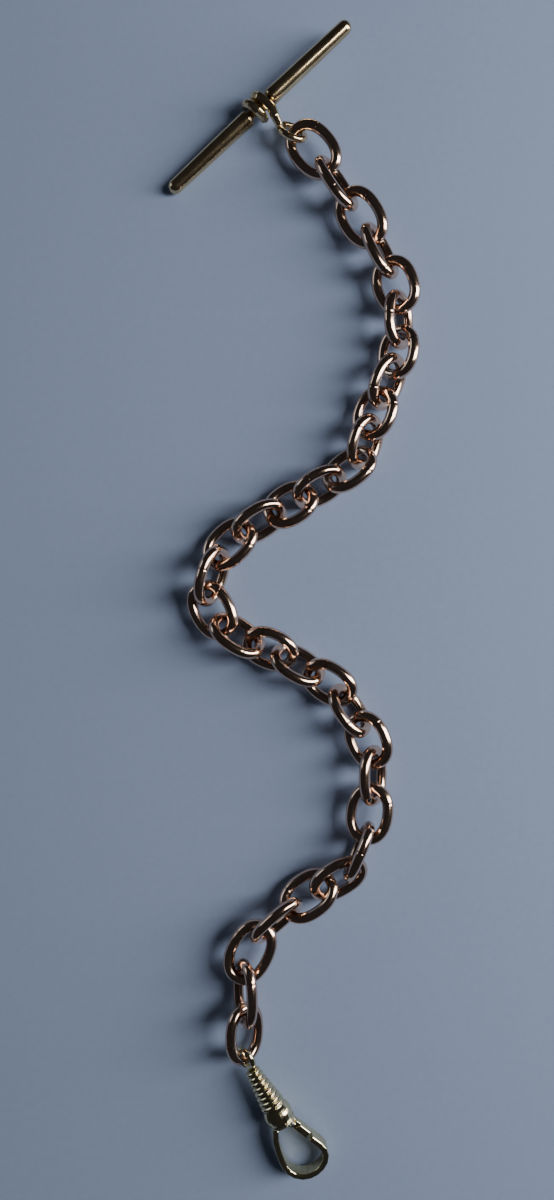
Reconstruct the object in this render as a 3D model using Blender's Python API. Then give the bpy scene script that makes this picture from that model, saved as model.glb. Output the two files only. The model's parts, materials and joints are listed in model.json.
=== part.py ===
"""Pocket watch chain: a T-bar, thirty-two oval links and a swivel clip, laid out in an S.

X runs to the right, Y towards the T-bar end, Z up. The chain lies on the plane z = 0.
"""
import math

import bmesh
import bpy
import numpy as np
from mathutils import Matrix, Vector

MM = 0.001
SHIFT = (-2.563, 0.462, 0.034)  # centres the layout's outline over the origin and lays it on z = 0

# links
LINK_WIRE = 1.76
LINK_WIDTH = 7.6
LINK_STEPS = 24
LINK_SQUARE = 2.25  # 2 would be an ellipse; more makes the sides straighter

# T-bar
BAR_HALF = 19.3
BAR_RADIUS = 1.36
TIP_RADIUS = 1.16
WAIST_RADIUS = 0.72
WAIST_HALF = 2.25
BAR_CENTRE = (-2.9, 78.9, 2.62)
BAR_HEADING = 41.5
BAR_PITCH = 4.6
WRAP_WIRE = 0.86  # radius of the wire where it is wrapped
WRAP_PITCH = 1.8
EYE_WIRE = 0.6
EYE_RADIUS = 2.1
EYE_CENTRE = (2.4, 75.0, 2.7)
EYE_HEADING = -30.0
EYE_ROLL = -46.0

# clip
CLIP_CENTRE = (0.1, -82.3, 2.38)
CLIP_HEADING = -60.0
CLIP_PITCH = -4.0
BARREL_TOP = -8.4
BARREL_RIBS = 8
BULB_RADIUS = 2.36
RIM = 1.5
RING_CENTRE = -10.6
RING_RADIUS = 1.68
RING_WIRE = 0.52
RING_ROLL = 48.0
BAND_THICK = 1.0
BAND_DEPTH = 2.6
GATE_PIN = (2.15, 1.35)

# each link: x, y, z of its middle (mm), heading, pitch, roll (degrees), length (mm)
LINKS = [
    (5.8, 72.0, 3.1, -50, 3, 16, 10.4),
    (9.5, 66.5, 3.4, -57, 0, -60, 10.4),
    (13.4, 61.1, 3.3, -58, 0, 25, 10.4),
    (16.4, 55.8, 3.3, -64, 0, -58, 10.0),
    (18.9, 50.3, 3.3, -72, 0, 20, 9.6),
    (19.4, 44.8, 3.2, -89, 0, -53, 9.6),
    (19.3, 39.6, 3.2, -97, 2, 40, 9.0),
    (17.6, 34.9, 3.1, -115, 1, -50, 9.4),
    (15.6, 29.9, 3.1, -109, 1, 30, 9.2),
    (14.1, 25.3, 3.1, -108, -2, -48, 9.2),
    (11.5, 20.9, 3.3, -143, -2, 39, 9.6),
    (6.8, 18.1, 3.1, -152, 0, -50, 9.4),
    (2.1, 15.3, 3.0, -148, 0, 25, 9.4),
    (-2.9, 12.5, 3.1, -148, 0, -50, 9.8),
    (-7.6, 9.0, 2.9, -136, 0, 25, 10.0),
    (-10.4, 3.9, 3.4, -107, 0, -60, 10.2),
    (-10.4, -1.6, 2.8, -62, 0, 16, 10.2),
    (-6.4, -5.6, 3.2, -34, 1, -50, 10.0),
    (-1.2, -7.8, 3.0, -22, 1, 30, 9.4),
    (3.3, -10.3, 3.1, -30, 0, -50, 9.6),
    (8.3, -13.2, 3.2, -33, 3, 30, 9.6),
    (11.6, -17.6, 3.3, -55, 0, -57, 9.6),
    (14.5, -22.3, 3.4, -68, 0, 25, 9.8),
    (15.3, -28.0, 3.3, -90, 0, -57, 9.8),
    (14.7, -34.0, 3.5, -99, 1, 15, 10.0),
    (13.0, -39.9, 3.9, -113, 0, -88, 10.2),
    (9.8, -44.5, 3.1, -149, 0, -32, 10.1),
    (5.0, -47.2, 3.1, -145, 0, 28, 10.2),
    (-0.1, -51.1, 3.5, -138, -1, -62, 10.4),
    (-4.3, -56.1, 3.4, -117, 1, 4, 10.9),
    (-5.1, -62.6, 3.7, -89, -1, 66, 11.0),
    (-5.2, -69.1, 3.3, -90, -2, -44, 10.0),
]


def clear_scene():
    for thing in list(bpy.data.objects):
        bpy.data.objects.remove(thing, do_unlink=True)


def new_collection(name):
    group = bpy.data.collections.new(name)
    bpy.context.scene.collection.children.link(group)
    return group


def metal(name, colour, roughness):
    made = bpy.data.materials.new(name)
    made.use_nodes = True
    shader = made.node_tree.nodes["Principled BSDF"]
    shader.inputs["Base Color"].default_value = (*colour, 1.0)
    shader.inputs["Metallic"].default_value = 1.0
    shader.inputs["Roughness"].default_value = roughness
    made.diffuse_color = (*colour, 1.0)
    return made


def axes(heading, pitch, roll):
    """Long axis, width axis and normal of a piece that heads, pitches and rolls (degrees)."""
    h, p, r = (math.radians(v) for v in (heading, pitch, roll))
    along = Vector((math.cos(h) * math.cos(p), math.sin(h) * math.cos(p), math.sin(p)))
    left = Vector((-math.sin(h), math.cos(h), 0.0))
    up = along.cross(left)
    width = left * math.cos(r) + up * math.sin(r)
    return along, width, along.cross(width)


def turn_of(directions):
    return Matrix(directions).transposed().to_4x4()


def place(thing, origin, turn):
    spot = (Vector(origin) + Vector(SHIFT)) * MM
    thing.matrix_world = Matrix.Translation(spot) @ turn


def keep_mesh(thing, group, finish):
    """Turns a curve or a modified mesh into one plain mesh object in its collection."""
    bpy.context.view_layer.update()
    graph = bpy.context.evaluated_depsgraph_get()
    mesh = bpy.data.meshes.new_from_object(thing.evaluated_get(graph))
    name, where = thing.name, thing.matrix_world.copy()
    bpy.data.objects.remove(thing, do_unlink=True)
    tidy(mesh)
    made = bpy.data.objects.new(name, mesh)
    mesh.name = name
    mesh.materials.clear()
    mesh.materials.append(finish)
    group.objects.link(made)
    made.matrix_world = where
    for face in mesh.polygons:
        face.use_smooth = True
    return made


def tidy(mesh):
    work = bmesh.new()
    work.from_mesh(mesh)
    bmesh.ops.remove_doubles(work, verts=work.verts, dist=1e-6)
    bmesh.ops.recalc_face_normals(work, faces=work.faces)
    work.to_mesh(mesh)
    work.free()


def tube(name, points, radii, group, finish, closed=False, ring=2):
    """A round wire through the points (mm), with one radius for each point."""
    curve = bpy.data.curves.new(name, "CURVE")
    curve.dimensions = "3D"
    curve.bevel_depth = MM
    curve.bevel_resolution = ring
    curve.use_fill_caps = not closed
    line = curve.splines.new("POLY")
    line.points.add(len(points) - 1)
    for spot, point, radius in zip(line.points, points, radii):
        spot.co = (*(Vector(point) * MM), 1.0)
        spot.radius = radius
    line.use_cyclic_u = closed
    thing = bpy.data.objects.new(name, curve)
    group.objects.link(thing)
    return keep_mesh(thing, group, finish)


def turned(name, profile, steps, group, finish):
    """A solid of revolution about local X. The profile lists (x, radius) in mm, closed."""
    work = bmesh.new()
    ring = [work.verts.new((x * MM, 0.0, r * MM)) for x, r in profile]
    edges = [work.edges.new((a, b)) for a, b in zip(ring, ring[1:])]
    if profile[0][1] > 0:
        edges.append(work.edges.new((ring[-1], ring[0])))
    bmesh.ops.spin(
        work,
        geom=ring + edges,
        axis=(1.0, 0.0, 0.0),
        cent=(0.0, 0.0, 0.0),
        steps=steps,
        angle=2 * math.pi,
    )
    bmesh.ops.remove_doubles(work, verts=work.verts, dist=1e-6)
    mesh = bpy.data.meshes.new(name)
    work.to_mesh(mesh)
    work.free()
    thing = bpy.data.objects.new(name, mesh)
    group.objects.link(thing)
    return keep_mesh(thing, group, finish)


def slab(name, outline, half_depth, bevel, group, finish):
    """A flat piece: an outline in local X and Y (mm), as deep as it stands each way in Z."""
    curve = bpy.data.curves.new(name, "CURVE")
    curve.dimensions = "2D"
    curve.fill_mode = "BOTH"
    curve.extrude = (half_depth - bevel) * MM
    curve.bevel_depth = bevel * MM
    curve.bevel_resolution = 1
    curve.offset = -bevel * MM
    line = curve.splines.new("POLY")
    line.points.add(len(outline) - 1)
    for spot, (x, y) in zip(line.points, outline):
        spot.co = (x * MM, y * MM, 0.0, 1.0)
    line.use_cyclic_u = True
    thing = bpy.data.objects.new(name, curve)
    group.objects.link(thing)
    return keep_mesh(thing, group, finish)


def box(name, low, high, group):
    work = bmesh.new()
    bmesh.ops.create_cube(work, size=1.0)
    for vert in work.verts:
        for k in range(3):
            vert.co[k] = (low[k] + (vert.co[k] + 0.5) * (high[k] - low[k])) * MM
    mesh = bpy.data.meshes.new(name)
    work.to_mesh(mesh)
    work.free()
    thing = bpy.data.objects.new(name, mesh)
    group.objects.link(thing)
    thing.hide_render = True
    thing.display_type = "WIRE"
    return thing


def rod(name, low, high, radius, steps, group):
    """A round cutter along local Z."""
    work = bmesh.new()
    bmesh.ops.create_cone(
        work,
        cap_ends=True,
        segments=steps,
        radius1=radius * MM,
        radius2=radius * MM,
        depth=(high[2] - low[2]) * MM,
        matrix=Matrix.Translation(
            Vector((low[0], low[1], (low[2] + high[2]) / 2)) * MM
        ),
    )
    mesh = bpy.data.meshes.new(name)
    work.to_mesh(mesh)
    work.free()
    thing = bpy.data.objects.new(name, mesh)
    group.objects.link(thing)
    thing.hide_render = True
    thing.display_type = "WIRE"
    return thing


def combine(thing, other, how, group, finish):
    change = thing.modifiers.new(how.title(), "BOOLEAN")
    change.operation = how
    change.solver = "EXACT"
    change.object = other
    return keep_mesh(thing, group, finish)


def oval(length, width, steps):
    """Centre line of a link in its own plane, from the leading end round to the left."""
    half_long = (length - LINK_WIRE) / 2
    half_wide = (width - LINK_WIRE) / 2
    points = []
    for k in range(steps):
        c = math.cos(2 * math.pi * k / steps)
        s = math.sin(2 * math.pi * k / steps)
        x = math.copysign(abs(c) ** (2 / LINK_SQUARE), c) * half_long
        y = math.copysign(abs(s) ** (2 / LINK_SQUARE), s) * half_wide
        points.append((x, y, 0.0))
    return points


def make_links(group, finish):
    """Every link's origin is on its joint: the wire of the end that it hangs from."""
    pivot = eye_contact()
    for number, row in enumerate(LINKS, 1):
        middle = Vector(row[:3])
        along, width, normal = axes(*row[3:6])
        turn = Matrix((along, width, normal))
        back = turn @ (middle - pivot)
        points = [Vector(p) + back for p in oval(row[6], LINK_WIDTH, LINK_STEPS)]
        name = f"link_{number:02d}"
        radii = [LINK_WIRE / 2] * LINK_STEPS
        link = tube(name, points, radii, group, finish, closed=True)
        place(link, pivot, turn_of((along, width, normal)))
        pivot = middle + along * (row[6] - LINK_WIRE) / 2


def eye_contact():
    """The point of the T-bar's eye that the first link hangs from."""
    along, width, normal = axes(EYE_HEADING, 0.0, EYE_ROLL)
    return Vector(EYE_CENTRE) + along * EYE_RADIUS


def make_bar(group, finish):
    along, width, normal = axes(BAR_HEADING, BAR_PITCH, 0.0)
    half = [(WAIST_HALF - 0.3, WAIST_RADIUS), (WAIST_HALF, BAR_RADIUS - 0.12)]
    half += [(WAIST_HALF + 0.25, BAR_RADIUS), (9.0, 1.3), (BAR_HALF - 3.0, 1.2)]
    for k in range(6):
        angle = math.pi / 2 * k / 5
        half.append(
            (
                BAR_HALF - TIP_RADIUS * (1 - math.sin(angle)),
                TIP_RADIUS * math.cos(angle) if k < 5 else 0.0,
            )
        )
    profile = [(-x, r) for x, r in reversed(half)] + half
    bar = turned("tbar_rod", profile, 24, group, finish)
    place(bar, BAR_CENTRE, turn_of((along, width, normal)))


def make_bale(group, finish):
    """The wire that is wrapped round the bar and runs down into the eye."""
    along, width, normal = axes(BAR_HEADING, BAR_PITCH, 0.0)
    centre = Vector(BAR_CENTRE)
    reach = WAIST_RADIUS + WRAP_WIRE + 0.06
    points = []
    radii = []
    for angle in range(546, 80, -24):
        a = math.radians(angle)
        p = 0.95 + (90 - angle) / 360 * WRAP_PITCH
        out = normal * math.sin(a) - width * math.cos(a)
        points.append(centre + along * p + out * reach)
        radii.append(WRAP_WIRE)
    points += [Vector((-0.75, 78.0, 4.15)), Vector((-0.35, 76.9, 4.1))]
    radii += [0.80, 0.76]
    ahead, side, up = axes(EYE_HEADING, 0.0, EYE_ROLL)
    eye = Vector(EYE_CENTRE)
    for angle in range(195, 520, 20):
        a = math.radians(angle)
        points.append(eye + (ahead * math.cos(a) + side * math.sin(a)) * EYE_RADIUS)
        radii.append(EYE_WIRE)
    local = [p - centre for p in points]
    bale = tube("tbar_bale", local, radii, group, finish)
    place(bale, centre, Matrix.Identity(4))


def clip_spot(s, t, n=0.0):
    along, width, normal = axes(CLIP_HEADING, CLIP_PITCH, 0.0)
    return Vector(CLIP_CENTRE) + along * s + width * t + normal * n


def make_swivel(group, finish):
    """Ring, stem and head in one, with its origin in the last link's end wire."""
    along, width, normal = axes(CLIP_HEADING, CLIP_PITCH, RING_ROLL)
    last = LINKS[-1]
    ahead = axes(*last[3:6])[0]
    pivot = Vector(last[:3]) + ahead * (last[6] - LINK_WIRE) / 2
    turn = Matrix((along, width, normal))
    middle = turn @ (clip_spot(RING_CENTRE, 0.0) - pivot)
    ring = []
    for k in range(20):
        a = math.radians(18 * k)
        ring.append(middle + Vector((math.cos(a), math.sin(a), 0.0)) * RING_RADIUS)
    eye = tube("clip_swivel_eye", ring, [RING_WIRE] * 20, group, finish, closed=True)
    start = RING_RADIUS + 0.1
    top = BARREL_TOP - RING_CENTRE
    profile = [
        (start, 0.0),
        (start, 0.48),
        (top + 1.6, 0.42),
        (top + 1.75, 0.72),
        (top + 2.3, 0.72),
        (top + 2.5, 0.4),
        (top + 2.5, 0.0),
    ]
    stem = turned("stem", profile, 16, group, finish)
    stem.location = middle * MM
    eye = combine(eye, stem, "UNION", group, finish)
    bpy.data.objects.remove(stem, do_unlink=True)
    place(eye, pivot, turn_of((along, width, normal)))


def make_body(group, finish):
    """Ribbed barrel and bulb, bored through for the stem and open at the rim."""
    along, width, normal = axes(CLIP_HEADING, CLIP_PITCH, 0.0)
    outer = [(BARREL_TOP, 0.56), (BARREL_TOP, 0.95)]
    ribs_end = -1.55
    pitch = (ribs_end - BARREL_TOP) / BARREL_RIBS
    for k in range(BARREL_RIBS):
        start = BARREL_TOP + k * pitch
        root = 1.02 + 0.9 * (k + 0.5) / BARREL_RIBS
        outer += [
            (start + 0.08 * pitch, root),
            (start + 0.3 * pitch, root + 0.15),
            (start + 0.5 * pitch, root + 0.2),
            (start + 0.7 * pitch, root + 0.16),
            (start + 0.94 * pitch, root + 0.02),
        ]
    for angle in (128, 115, 102, 90, 78, 66):
        a = math.radians(angle)
        outer.append((BULB_RADIUS * math.cos(a), BULB_RADIUS * math.sin(a)))
    outer += [(1.12, 2.1), (1.2, 2.2), (RIM - 0.08, 2.2), (RIM, 2.12), (RIM, 1.82)]
    inner = [(0.1, 1.82), (-0.2, 1.5), (-1.6, 1.0)]
    inner += [(BARREL_TOP + 1.2, 0.8), (BARREL_TOP + 1.1, 0.56)]
    body = turned("clip_body", outer + inner, 24, group, finish)
    place(body, clip_spot(0.0, 0.0), turn_of((along, width, normal)))


def offset_band(line, half):
    """Outline of a strip of even width along an open centre line, as (x, y) points."""
    left, right = [], []
    for k, (x, y) in enumerate(line):
        before = line[max(k - 1, 0)]
        after = line[min(k + 1, len(line) - 1)]
        d = math.hypot(after[0] - before[0], after[1] - before[1])
        nx = -(after[1] - before[1]) / d
        ny = (after[0] - before[0]) / d
        left.append((x + nx * half, y + ny * half))
        right.append((x - nx * half, y - ny * half))
    return left + right[::-1]


HOOK_LINE = [
    (1.85, -1.5),
    (2.4, -1.8),
    (3.4, -2.35),
    (4.9, -2.78),
    (6.4, -3.1),
    (7.7, -3.22),
    (8.9, -3.05),
    (9.9, -2.5),
    (10.7, -1.6),
    (11.15, -0.5),
    (11.2, 0.7),
    (10.95, 1.8),
    (10.4, 2.75),
    (9.55, 3.4),
    (8.55, 3.6),
    (7.5, 3.4),
    (6.6, 3.05),
    (5.75, 2.7),
]
GATE_LINE = [(2.15, 1.35), (3.1, 1.7), (4.3, 2.15), (5.4, 2.57)]


def make_hook(group, cutters, finish):
    """Fixed hook band with the plug that closes the bulb's mouth."""
    hook = slab(
        "clip_hook",
        offset_band(HOOK_LINE, BAND_THICK / 2),
        BAND_DEPTH / 2,
        0.28,
        group,
        finish,
    )
    plug = turned(
        "plug",
        [
            (0.45, 0.0),
            (0.45, 1.7),
            (RIM, 1.7),
            (RIM + 0.12, 1.9),
            (RIM + 0.3, 1.9),
            (RIM + 0.45, 1.75),
            (RIM + 0.45, 0.0),
        ],
        24,
        group,
        finish,
    )
    hook = combine(hook, plug, "UNION", group, finish)
    bpy.data.objects.remove(plug, do_unlink=True)
    lugs = slab(
        "lugs",
        [(1.55, 0.75), (2.1, 0.7), (2.75, 0.95), (2.85, 1.4), (2.6, 1.85), (1.55, 1.55)],
        1.15,
        0.1,
        group,
        finish,
    )
    hook = combine(hook, lugs, "UNION", group, finish)
    bpy.data.objects.remove(lugs, do_unlink=True)
    x, y = GATE_PIN
    slot = box("gate_slot", (0.2, -0.1, -0.72), (4.0, 3.0, 0.72), cutters)
    hook = combine(hook, slot, "DIFFERENCE", group, finish)
    hole = rod("pin_hole", (x, y, -2.0), (x, y, 2.0), 0.36, 16, cutters)
    hook = combine(hook, hole, "DIFFERENCE", group, finish)
    along, width, normal = axes(CLIP_HEADING, CLIP_PITCH, 0.0)
    place(hook, clip_spot(0.0, 0.0), turn_of((along, width, normal)))
    return slot, hole


def make_gate(group, cutters, finish, steel):
    """Gate lever with its tail, the pin it turns on and the leaf that closes it."""
    along, width, normal = axes(CLIP_HEADING, CLIP_PITCH, 0.0)
    x, y = GATE_PIN
    line = [(px - x, py - y) for px, py in GATE_LINE]
    arm = offset_band([(0.5, 0.18)] + line[1:], 0.62)
    gate = slab("clip_gate", arm, 0.95, 0.22, group, finish)
    knuckle = slab(
        "knuckle",
        [
            (0.72 * math.cos(math.radians(a)), 0.72 * math.sin(math.radians(a)))
            for a in range(0, 360, 30)
        ],
        0.58,
        0.05,
        group,
        finish,
    )
    gate = combine(gate, knuckle, "UNION", group, finish)
    bpy.data.objects.remove(knuckle, do_unlink=True)
    relief = box("lug_relief_up", (-1.5, -1.5, 0.58), (1.12, 1.5, 2.0), cutters)
    gate = combine(gate, relief, "DIFFERENCE", group, finish)
    under = box("lug_relief_down", (-1.5, -1.5, -2.0), (1.12, 1.5, -0.58), cutters)
    gate = combine(gate, under, "DIFFERENCE", group, finish)
    bore = rod("gate_bore", (0.0, 0.0, -2.0), (0.0, 0.0, 2.0), 0.4, 16, cutters)
    gate = combine(gate, bore, "DIFFERENCE", group, finish)
    where = clip_spot(x, y)
    turn = turn_of((along, width, normal))
    place(gate, where, turn)
    for cutter in (relief, under, bore):
        place(cutter, where, turn)
    pin = turned(
        "clip_gate_pin",
        [(-1.3, 0.0), (-1.3, 0.2), (-1.2, 0.3), (1.2, 0.3), (1.3, 0.2), (1.3, 0.0)],
        16,
        group,
        steel,
    )
    place(pin, where, turn_of((normal, width, -along)))
    leaf = [(0.5, 0.15), (1.4, 0.2), (2.2, 0.38), (2.95, 0.8)]
    spring = slab("clip_gate_spring", offset_band(leaf, 0.09), 0.42, 0.03, group, steel)
    place(spring, clip_spot(0.0, 0.0), turn)


def main():
    clear_scene()
    group = new_collection("pocket_watch_chain")
    cutters = new_collection("cutters")
    rose = metal("rose_gold", (0.82, 0.49, 0.34), 0.12)
    yellow = metal("yellow_gold", (0.80, 0.62, 0.30), 0.14)
    pale = metal("pale_gold", (0.85, 0.74, 0.45), 0.14)
    steel = metal("spring_steel", (0.55, 0.55, 0.56), 0.3)
    make_bar(group, yellow)
    make_bale(group, yellow)
    make_links(group, rose)
    make_swivel(group, pale)
    make_body(group, pale)
    slot, hole = make_hook(group, cutters, pale)
    along, width, normal = axes(CLIP_HEADING, CLIP_PITCH, 0.0)
    for cutter in (slot, hole):
        place(cutter, clip_spot(0.0, 0.0), turn_of((along, width, normal)))
    make_gate(group, cutters, pale, steel)


main()
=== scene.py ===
"""Looks of the pocket watch chain: gold links, T-bar and clip on a blue-grey sheet.

Every piece but the gate's pin and spring is rebuilt from its CAD node's own mesh, so it lies
where the frame says; those two keep their CAD meshes.
"""

import json
import math

import bmesh
import bpy
import numpy as np
from mathutils import Matrix, Vector, noise


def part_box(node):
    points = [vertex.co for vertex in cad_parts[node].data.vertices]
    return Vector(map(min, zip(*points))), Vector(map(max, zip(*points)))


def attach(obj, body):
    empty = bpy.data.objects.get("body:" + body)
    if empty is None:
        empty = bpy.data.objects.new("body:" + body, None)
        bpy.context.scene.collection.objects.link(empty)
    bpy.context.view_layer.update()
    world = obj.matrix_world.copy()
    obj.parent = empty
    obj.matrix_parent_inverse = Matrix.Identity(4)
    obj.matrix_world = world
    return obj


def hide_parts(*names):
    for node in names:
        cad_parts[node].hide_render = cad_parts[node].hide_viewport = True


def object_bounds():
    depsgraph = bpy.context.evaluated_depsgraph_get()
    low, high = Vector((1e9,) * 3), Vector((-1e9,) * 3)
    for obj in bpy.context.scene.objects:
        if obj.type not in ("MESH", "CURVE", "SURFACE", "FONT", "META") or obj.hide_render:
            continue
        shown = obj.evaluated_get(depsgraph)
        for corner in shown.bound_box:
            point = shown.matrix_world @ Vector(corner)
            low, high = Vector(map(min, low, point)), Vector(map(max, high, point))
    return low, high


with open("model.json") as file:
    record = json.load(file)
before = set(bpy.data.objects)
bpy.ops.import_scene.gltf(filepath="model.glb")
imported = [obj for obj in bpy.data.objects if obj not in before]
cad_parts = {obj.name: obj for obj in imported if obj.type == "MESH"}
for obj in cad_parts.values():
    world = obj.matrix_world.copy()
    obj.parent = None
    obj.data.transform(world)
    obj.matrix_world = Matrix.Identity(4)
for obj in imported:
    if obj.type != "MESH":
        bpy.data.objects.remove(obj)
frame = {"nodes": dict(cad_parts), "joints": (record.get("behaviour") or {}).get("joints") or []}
CAD_BOX = [list(corner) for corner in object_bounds()]

MM = 0.001
CAMERA_HEIGHT = 160.0  # mm above the sheet
CAMERA_OFFSET = (-2.56, 0.46)  # mm from the middle of the object's box
SHEET_SPAN = 195.6  # mm of sheet along the frame's long side
SENSOR = 36.0
SHEET_HALF = 700 * MM
SHEET_DROP = 0.05 * MM  # the sheet lies this far under the lowest point

LINK_RINGS = 112
LINK_SIDES = 24
LINK_SQUARE = 2.25  # 2 would be an ellipse; more makes the sides straighter
SEAM_ANGLE = math.radians(118.0)  # where the soldered joint lies, from the far end
SEAM_WIDTH = 0.11 * MM
SEAM_DEPTH = 0.045 * MM
SEAM_SWELL = 0.012 * MM
SEAM_GAP = 0.085  # the even angles keep this far from the seam
SEAM_STEPS = (-6, -4, -3, -2, -1, 0, 1, 2, 3, 4, 6)
SEAM_STEP = 0.011
HAND_WOBBLE = 0.012 * MM
CROWN_WEAR = 0.03 * MM
# strength of the painted shade on the inner side of each link's wire, where the links nest
PAINTED_SHADE_INSIDE = 0.95

ROD_SIDES = 72
ROD_STATIONS = 260
STATION_STEP = 0.02 * MM
ROD_WOBBLE = 0.014 * MM
KNOT_HALF = 2.2 * MM  # painted shade on the bar out to here, fading out over KNOT_FADE
KNOT_FADE = 2.0 * MM
THINNEST = 0.02 * MM

BEADS = 8  # rings on the clip's barrel
BEADS_START = -8.4  # mm along the clip from the bulb's centre
BEADS_END = -1.55
BEAD_HEIGHT = 0.16
BEAD_SINK = 0.17
BARREL_CORE = 0.9  # mm; the bore and anything inside this radius stays as it is


# ---------------------------------------------------------------- geometry


def node_points(name):
    mesh = frame["nodes"][name].data
    flat = np.empty(len(mesh.vertices) * 3, np.float32)
    mesh.vertices.foreach_get("co", flat)
    return flat.reshape(-1, 3).astype(float)


def principal_frame(points):
    """Middle and long, wide and thin directions of a node, with its extents along them."""
    middle = points.mean(0)
    spread = np.linalg.svd(points - middle, full_matrices=False)[2]
    along = (points - middle) @ spread.T
    low, high = along.min(0), along.max(0)
    return middle + ((low + high) / 2) @ spread, spread, high - low


def node_middle(name):
    low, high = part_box(name)
    return np.array((low + high) / 2)


def mesh_object(name, verts, faces):
    mesh = bpy.data.meshes.new(name)
    mesh.from_pydata([tuple(v) for v in verts], [], faces)
    mesh.update()
    mesh.shade_smooth()
    made = bpy.data.objects.new(name, mesh)
    bpy.context.scene.collection.objects.link(made)
    return made


def tube_faces(rings, sides):
    faces = []
    for i in range(rings):
        j = (i + 1) % rings
        for k in range(sides):
            m = (k + 1) % sides
            faces.append((i * sides + k, j * sides + k, j * sides + m, i * sides + m))
    return faces


def oval_point(angle, half_long, half_wide):
    c, s = math.cos(angle), math.sin(angle)
    power = 2 / LINK_SQUARE
    return Vector(
        (
            math.copysign(abs(c) ** power, c) * half_long,
            math.copysign(abs(s) ** power, s) * half_wide,
            0.0,
        )
    )


def ring_angles(seam):
    """Angles round the link, closer together at the soldered seam."""
    even = [math.tau * i / LINK_RINGS for i in range(LINK_RINGS)]
    near = [seam + step * SEAM_STEP for step in SEAM_STEPS]
    kept = [a for a in even if abs(a - seam) > SEAM_GAP]
    return sorted(kept + near)


def set_attribute(mesh, name, values):
    attribute = mesh.attributes.new(name, "FLOAT", "POINT")
    attribute.data.foreach_set("value", np.asarray(values, np.float32))


def make_link(name, following, index):
    """One soldered link: an oval of round wire, slightly uneven, with its seam and wear, and
    painted shade on the wire's inner side.
    """
    points = node_points(name)
    middle, spread, extent = principal_frame(points)
    along = Vector(spread[0])
    if along.dot(Vector(node_middle(following) - middle)) < 0:
        along.negate()
    width = Vector(spread[1])
    left = Vector((0, 0, 1)).cross(along)
    if width.dot(left) < 0:
        width.negate()
    normal = along.cross(width)
    wire = extent[2] / 2
    half_long = extent[0] / 2 - wire
    half_wide = extent[1] / 2 - wire
    seam = SEAM_ANGLE
    if index % 2 == 0:
        seam += math.radians(130 + 17 * (index % 5))
    seed = Vector((index * 3.7, index * 1.3, 0.0))
    angles = ring_angles(seam % math.tau)
    verts, seam_and_painted_shade = [], []
    for angle in angles:
        centre = oval_point(angle, half_long, half_wide)
        ahead = oval_point(angle + 0.01, half_long, half_wide)
        forward = (ahead - oval_point(angle - 0.01, half_long, half_wide)).normalized()
        outward = forward.cross(Vector((0, 0, 1)))
        away = (centre - oval_point(seam, half_long, half_wide)).length
        groove = math.exp(-((away / SEAM_WIDTH) ** 2))
        swell = math.exp(-((away / (5 * SEAM_WIDTH)) ** 2))
        crown = abs(math.cos(angle)) ** 6
        for k in range(LINK_SIDES):
            turn = math.tau * k / LINK_SIDES
            inside = max(0.0, -math.cos(turn))
            aim = outward * math.cos(turn) + Vector((0, 0, 1)) * math.sin(turn)
            spot = centre + aim * wire
            uneven = noise.noise(spot / (2.6 * MM) + seed) * HAND_WOBBLE
            worn = crown * inside**3 * CROWN_WEAR
            radius = wire + uneven - worn - groove * SEAM_DEPTH + swell * SEAM_SWELL
            verts.append(centre + aim * radius)
            # painted shade on the wire's inner side, lighter at the crowns; the seam's groove is
            # a real dark joint
            inner_shade = PAINTED_SHADE_INSIDE * inside**2 * (1 - 0.4 * crown)
            seam_and_painted_shade.append(min(1.0, groove + inner_shade))
    link = mesh_object(name + "_fine", verts, tube_faces(len(angles), LINK_SIDES))
    set_attribute(link.data, "seam_and_painted_shade", seam_and_painted_shade)
    place = Matrix((along, width, normal)).transposed().to_4x4()
    link.matrix_world = Matrix.Translation(Vector(middle)) @ place
    return link


def rod_profile(points, middle, axis):
    """Radius along the rod at each station of the CAD solid."""
    along = (points - middle) @ axis
    radial = points - middle - np.outer(along, axis)
    radius = np.linalg.norm(radial, axis=1)
    stations = []
    for value in np.unique(np.round(along / STATION_STEP)):
        near = np.abs(along / STATION_STEP - value) <= 0.5
        stations.append((value * STATION_STEP, radius[near].max()))
    return stations


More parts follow.
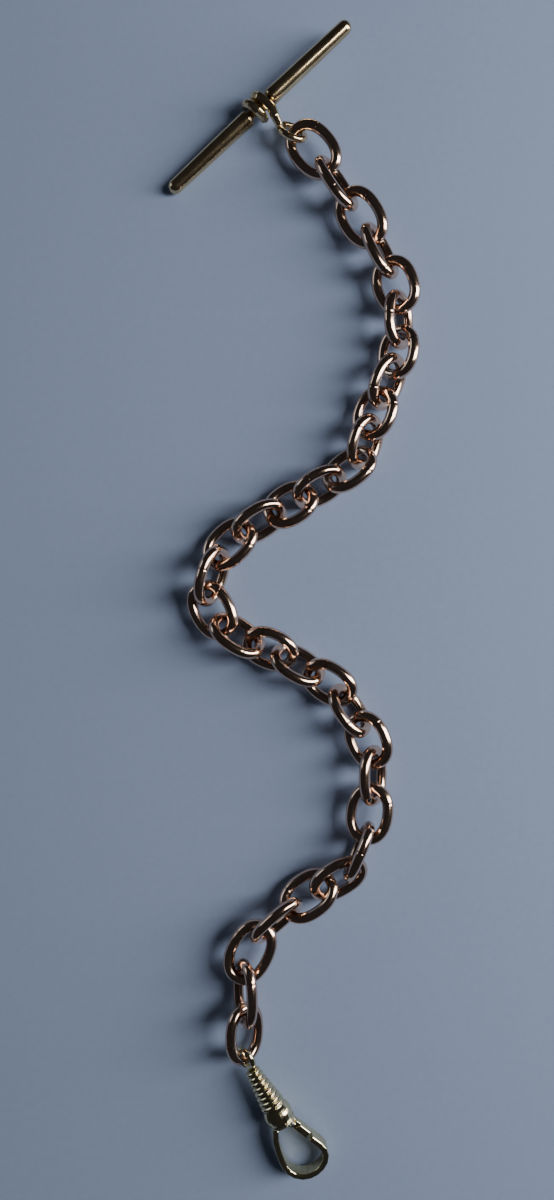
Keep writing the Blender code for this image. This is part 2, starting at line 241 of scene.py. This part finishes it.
def make_rod(name):
    """The bar turned smooth: its stations follow the CAD solid, with more between."""
    points = node_points(name)
    middle, spread, _ = principal_frame(points)
    axis = spread[0] if spread[0][0] > 0 else -spread[0]
    stations = rod_profile(points, middle, axis)
    xs = np.array([s[0] for s in stations])
    rs = np.array([s[1] for s in stations])
    fine = np.unique(np.concatenate([xs, np.linspace(xs[0], xs[-1], ROD_STATIONS)]))
    radii = np.interp(fine, xs, rs)
    side = Vector(axis).orthogonal().normalized()
    up = Vector(axis).cross(side)
    verts, seam_and_painted_shade = [], []
    for x, r in zip(fine, radii):
        for k in range(ROD_SIDES):
            turn = math.tau * k / ROD_SIDES
            aim = Vector((0, math.cos(turn), math.sin(turn)))
            spot = Vector((x, 0, 0)) + aim * r
            uneven = noise.noise(spot / (4.0 * MM)) * ROD_WOBBLE
            verts.append(Vector((x, 0, 0)) + aim * max(r + uneven, THINNEST))
            # painted shade near the knot, where the bale wraps round the bar
            shade_fade = (abs(x) - KNOT_HALF) / KNOT_FADE
            seam_and_painted_shade.append(min(1.0, max(0.0, 1.0 - shade_fade)))
    count = len(fine)
    faces = []
    for i in range(count - 1):
        for k in range(ROD_SIDES):
            m = (k + 1) % ROD_SIDES
            a, b = i * ROD_SIDES, (i + 1) * ROD_SIDES
            faces.append((a + k, a + m, b + m, b + k))
    faces.append(tuple(reversed(range(ROD_SIDES))))
    faces.append(tuple(range((count - 1) * ROD_SIDES, count * ROD_SIDES)))
    rod = mesh_object(name + "_fine", verts, faces)
    set_attribute(rod.data, "seam_and_painted_shade", seam_and_painted_shade)
    bm = bmesh.new()
    bm.from_mesh(rod.data)
    bmesh.ops.recalc_face_normals(bm, faces=bm.faces)
    bm.to_mesh(rod.data)
    bm.free()
    rod.data.shade_smooth()
    place = Matrix((Vector(axis), side, up)).transposed().to_4x4()
    rod.matrix_world = Matrix.Translation(Vector(middle)) @ place
    return rod


def refine(name, voxel, rounds, soften=0.5):
    """A smooth copy of a CAD node: welded, remeshed finely and eased like polished metal, with
    painted shade in its crevices.
    """
    mesh = frame["nodes"][name].data.copy()
    made = bpy.data.objects.new(name + "_fine", mesh)
    bpy.context.scene.collection.objects.link(made)
    bm = bmesh.new()
    bm.from_mesh(mesh)
    bmesh.ops.remove_doubles(bm, verts=bm.verts, dist=0.001 * MM)
    bm.to_mesh(mesh)
    bm.free()
    remesh = made.modifiers.new("remesh", "REMESH")
    remesh.mode = "VOXEL"
    remesh.voxel_size = voxel
    remesh.use_smooth_shade = True
    smooth = made.modifiers.new("ease", "SMOOTH")
    smooth.factor = soften
    smooth.iterations = rounds
    bpy.context.view_layer.update()
    graph = bpy.context.evaluated_depsgraph_get()
    fine = bpy.data.meshes.new_from_object(made.evaluated_get(graph))
    made.modifiers.clear()
    made.data = fine
    fine.shade_smooth()
    verts = np.array([v.co for v in fine.vertices])
    # painted shade in the crevices, from how deep each vertex lies
    hollow = cavity(fine, verts)
    set_attribute(fine, "seam_and_painted_shade", hollow)
    fine.materials.clear()
    return made


def bead_barrel(piece):
    """Cuts the barrel's rings deeper: round beads with narrow grooves between, darkened with
    painted shade.
    """
    spin = next(j for j in frame["joints"] if j["name"] == "clip_body_spin")
    axis = Vector(spin["axis"]).normalized()
    centre = Vector(spin["pos_m"])
    pitch = (BEADS_END - BEADS_START) / BEADS
    mesh = piece.data
    moves = []
    for vertex in mesh.vertices:
        s = (vertex.co - centre).dot(axis) / MM
        out = (vertex.co - centre) - axis * s * MM
        reach = out.length
        out.normalize()
        if not BEADS_START < s < BEADS_END or vertex.normal.dot(out) < 0.15:
            moves.append(None)
            continue
        wave = abs(math.sin(math.pi * (s - BEADS_START) / pitch))
        sink = (BEAD_HEIGHT * wave**0.8 - BEAD_SINK) * MM
        moves.append(out * sink if reach > BARREL_CORE * MM else None)
    for vertex, move in zip(mesh.vertices, moves):
        if move is not None:
            vertex.co += move
    mesh.update()
    # painted shade in the new grooves between the beads
    hollow = cavity(mesh, np.array([v.co for v in mesh.vertices])).astype(np.float32)
    mesh.attributes["seam_and_painted_shade"].data.foreach_set("value", hollow)
    return piece


def cavity(mesh, verts):
    """How far each vertex lies under its neighbours' plane, from 0 (open) to 1 (crevice)."""
    edges = np.array([e.vertices[:] for e in mesh.edges])
    normals = np.array([v.normal for v in mesh.vertices])
    total, count = np.zeros(len(verts)), np.zeros(len(verts))
    step = verts[edges[:, 1]] - verts[edges[:, 0]]
    length = np.linalg.norm(step, axis=1) + 1e-12
    np.add.at(total, edges[:, 0], (step * normals[edges[:, 0]]).sum(1) / length)
    np.add.at(total, edges[:, 1], (-step * normals[edges[:, 1]]).sum(1) / length)
    np.add.at(count, edges.ravel(), 1)
    bend = total / np.maximum(count, 1)
    for _ in range(6):
        near = np.zeros(len(verts))
        np.add.at(near, edges[:, 0], bend[edges[:, 1]])
        np.add.at(near, edges[:, 1], bend[edges[:, 0]])
        bend = 0.5 * bend + 0.5 * near / np.maximum(count, 1)
    return np.clip(bend * 14.0, 0.0, 1.0)


# ---------------------------------------------------------------- materials


def node_of(tree, kind, **inputs):
    made = tree.nodes.new(kind)
    for key, value in inputs.items():
        made.inputs[key.replace("_", " ")].default_value = value
    return made


def ramp_of(tree, stops):
    ramp = tree.nodes.new("ShaderNodeValToRGB")
    band = ramp.color_ramp
    while len(band.elements) < len(stops):
        band.elements.new(0.5)
    for element, (position, colour) in zip(band.elements, stops):
        element.position = position
        element.color = (*colour, 1.0)
    return ramp


def metal(name, bright, deep, seam_and_shade_colour, rough, scratch=1.0):
    """Polished metal: cloudy tone, fine drawn scratches, rub marks, dark seams and painted shade
    in crevices and inner sides.
    """
    made = bpy.data.materials.new(name)
    made.use_nodes = True
    tree = made.node_tree
    link = tree.links.new
    shader = tree.nodes["Principled BSDF"]
    shader.inputs["Metallic"].default_value = 1.0
    place = tree.nodes.new("ShaderNodeTexCoord")
    cloud = node_of(tree, "ShaderNodeTexNoise", Scale=420.0, Detail=5.0, Roughness=0.6)
    link(place.outputs["Object"], cloud.inputs["Vector"])
    tone = ramp_of(tree, [(0.30, deep), (0.68, bright)])
    link(cloud.outputs["Fac"], tone.inputs["Fac"])
    # mask of dark seams and painted shade, broken into patches and painted in the dark colour
    crevice = tree.nodes.new("ShaderNodeAttribute")
    crevice.attribute_name = "seam_and_painted_shade"
    patches = node_of(tree, "ShaderNodeTexNoise", Scale=1500.0, Detail=4.0, Roughness=0.7)
    link(place.outputs["Object"], patches.inputs["Vector"])
    broken = tree.nodes.new("ShaderNodeMath")
    broken.operation = "MULTIPLY"
    link(crevice.outputs["Fac"], broken.inputs[0])
    link(patches.outputs["Fac"], broken.inputs[1])
    seam_and_shade_mix = tree.nodes.new("ShaderNodeMix")
    seam_and_shade_mix.data_type = "RGBA"
    seam_and_shade_mix.inputs["B"].default_value = (*seam_and_shade_colour, 1.0)
    link(broken.outputs[0], seam_and_shade_mix.inputs["Factor"])
    link(tone.outputs["Color"], seam_and_shade_mix.inputs["A"])
    link(seam_and_shade_mix.outputs["Result"], shader.inputs["Base Color"])
    stretch = tree.nodes.new("ShaderNodeMapping")
    stretch.inputs["Scale"].default_value = (0.35, 2.2, 2.2)
    link(place.outputs["Object"], stretch.inputs["Vector"])
    lines = node_of(tree, "ShaderNodeTexNoise", Scale=5200.0, Detail=3.0, Roughness=0.75)
    link(stretch.outputs["Vector"], lines.inputs["Vector"])
    gloss = tree.nodes.new("ShaderNodeMapRange")
    gloss.inputs["From Min"].default_value = 0.3
    gloss.inputs["From Max"].default_value = 0.75
    gloss.inputs["To Min"].default_value = rough * 0.7
    gloss.inputs["To Max"].default_value = rough * 1.7
    link(lines.outputs["Fac"], gloss.inputs["Value"])
    link(gloss.outputs["Result"], shader.inputs["Roughness"])
    dents = node_of(tree, "ShaderNodeTexNoise", Scale=1100.0, Detail=2.0, Roughness=0.5)
    link(place.outputs["Object"], dents.inputs["Vector"])
    soft = node_of(tree, "ShaderNodeBump", Strength=0.10, Distance=0.00003)
    link(dents.outputs["Fac"], soft.inputs["Height"])
    fine = node_of(tree, "ShaderNodeBump", Strength=0.10 * scratch, Distance=0.000008)
    link(lines.outputs["Fac"], fine.inputs["Height"])
    link(soft.outputs["Normal"], fine.inputs["Normal"])
    link(fine.outputs["Normal"], shader.inputs["Normal"])
    return made


def paper(name, tone, shade):
    """A plain matte sheet with a faint fibre grain."""
    made = bpy.data.materials.new(name)
    made.use_nodes = True
    tree = made.node_tree
    link = tree.links.new
    shader = tree.nodes["Principled BSDF"]
    shader.inputs["Roughness"].default_value = 0.85
    shader.inputs["Specular IOR Level"].default_value = 0.2
    place = tree.nodes.new("ShaderNodeTexCoord")
    grain = node_of(tree, "ShaderNodeTexNoise", Scale=900.0, Detail=6.0, Roughness=0.7)
    link(place.outputs["Object"], grain.inputs["Vector"])
    tint = ramp_of(tree, [(0.35, shade), (0.65, tone)])
    link(grain.outputs["Fac"], tint.inputs["Fac"])
    link(tint.outputs["Color"], shader.inputs["Base Color"])
    bump = node_of(tree, "ShaderNodeBump", Strength=0.12, Distance=0.00005)
    link(grain.outputs["Fac"], bump.inputs["Height"])
    link(bump.outputs["Normal"], shader.inputs["Normal"])
    return made


# ---------------------------------------------------------------- assembly


def dress(piece, finish, slot, body, *nodes):
    piece.data.materials.clear()
    piece.data.materials.append(finish)
    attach(piece, body)
    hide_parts(*nodes)


def area_light(name, place, aim, size, power, colour):
    lamp = bpy.data.lights.new(name, "AREA")
    lamp.shape = "RECTANGLE"
    lamp.size, lamp.size_y = size
    lamp.energy = power
    lamp.color = colour
    made = bpy.data.objects.new(name, lamp)
    made.location = place
    direction = Vector(aim) - Vector(place)
    made.rotation_euler = direction.to_track_quat("-Z", "Y").to_euler()
    bpy.context.scene.collection.objects.link(made)
    return made


rose = metal("rose_gold", (0.78, 0.57, 0.44), (0.60, 0.42, 0.32), (0.11, 0.05, 0.035), 0.12)
yellow = metal("yellow_gold", (0.80, 0.65, 0.40), (0.60, 0.46, 0.26), (0.12, 0.07, 0.03), 0.14)
pale = metal("pale_gold", (0.84, 0.78, 0.52), (0.64, 0.57, 0.34), (0.12, 0.09, 0.04), 0.12)
steel = metal("spring_steel", (0.62, 0.62, 0.63), (0.45, 0.45, 0.47), (0.1, 0.08, 0.07), 0.28)

links = sorted(name for name in frame["nodes"] if name.startswith("link_"))
for number, name in enumerate(links, 1):
    after = links[number] if number < len(links) else "clip_swivel_eye"
    dress(make_link(name, after, number), rose, "rose_gold", name, name)

dress(make_rod("tbar_rod"), yellow, "yellow_gold", "tbar", "tbar_rod")
dress(refine("tbar_bale", 0.08 * MM, 10), yellow, "yellow_gold", "tbar", "tbar_bale")
swivel = refine("clip_swivel_eye", 0.07 * MM, 8)
dress(swivel, pale, "pale_gold", "clip_swivel", "clip_swivel_eye")
barrel = bead_barrel(refine("clip_body", 0.06 * MM, 3))
dress(barrel, pale, "pale_gold", "clip_body", "clip_body")
dress(refine("clip_hook", 0.06 * MM, 4), pale, "pale_gold", "clip_body", "clip_hook")
dress(refine("clip_gate", 0.05 * MM, 4), pale, "pale_gold", "clip_gate", "clip_gate")
for name in ("clip_gate_pin", "clip_gate_spring"):
    node = frame["nodes"][name]
    node.data.materials.clear()
    node.data.materials.append(steel)

# sheet, light and camera
low, high = Vector(CAD_BOX[0]), Vector(CAD_BOX[1])
middle = (low + high) / 2
half = SHEET_HALF
sheet_verts = [(-half, -half, 0), (half, -half, 0), (half, half, 0), (-half, half, 0)]
sheet = mesh_object("sheet", sheet_verts, [(0, 1, 2, 3)])
sheet.location = (middle.x, middle.y, low.z - SHEET_DROP)
sheet.data.materials.append(paper("sheet", (0.27, 0.345, 0.525), (0.255, 0.33, 0.505)))

area_light("window", (0.40, 0.06, 0.25), (0, 0, 0), (0.18, 0.50), 4.0, (1.0, 0.96, 0.90))
area_light("far_wall", (-0.55, 0.25, 0.16), (0, 0, 0), (0.3, 0.2), 0.25, (0.85, 0.92, 1.0))
world = bpy.data.worlds.new("room")
world.use_nodes = True
world.node_tree.nodes["Background"].inputs["Color"].default_value = (0.62, 0.62, 0.70, 1.0)
world.node_tree.nodes["Background"].inputs["Strength"].default_value = 0.035
bpy.context.scene.world = world

camera = bpy.data.cameras.new("camera")
camera.sensor_width = SENSOR
camera.lens = SENSOR * CAMERA_HEIGHT / SHEET_SPAN
camera.clip_start = 0.005
view = bpy.data.objects.new("camera", camera)
view.location = (
    middle.x + CAMERA_OFFSET[0] * MM,
    middle.y + CAMERA_OFFSET[1] * MM,
    low.z + CAMERA_HEIGHT * MM,
)
bpy.context.scene.collection.objects.link(view)
bpy.context.scene.camera = view
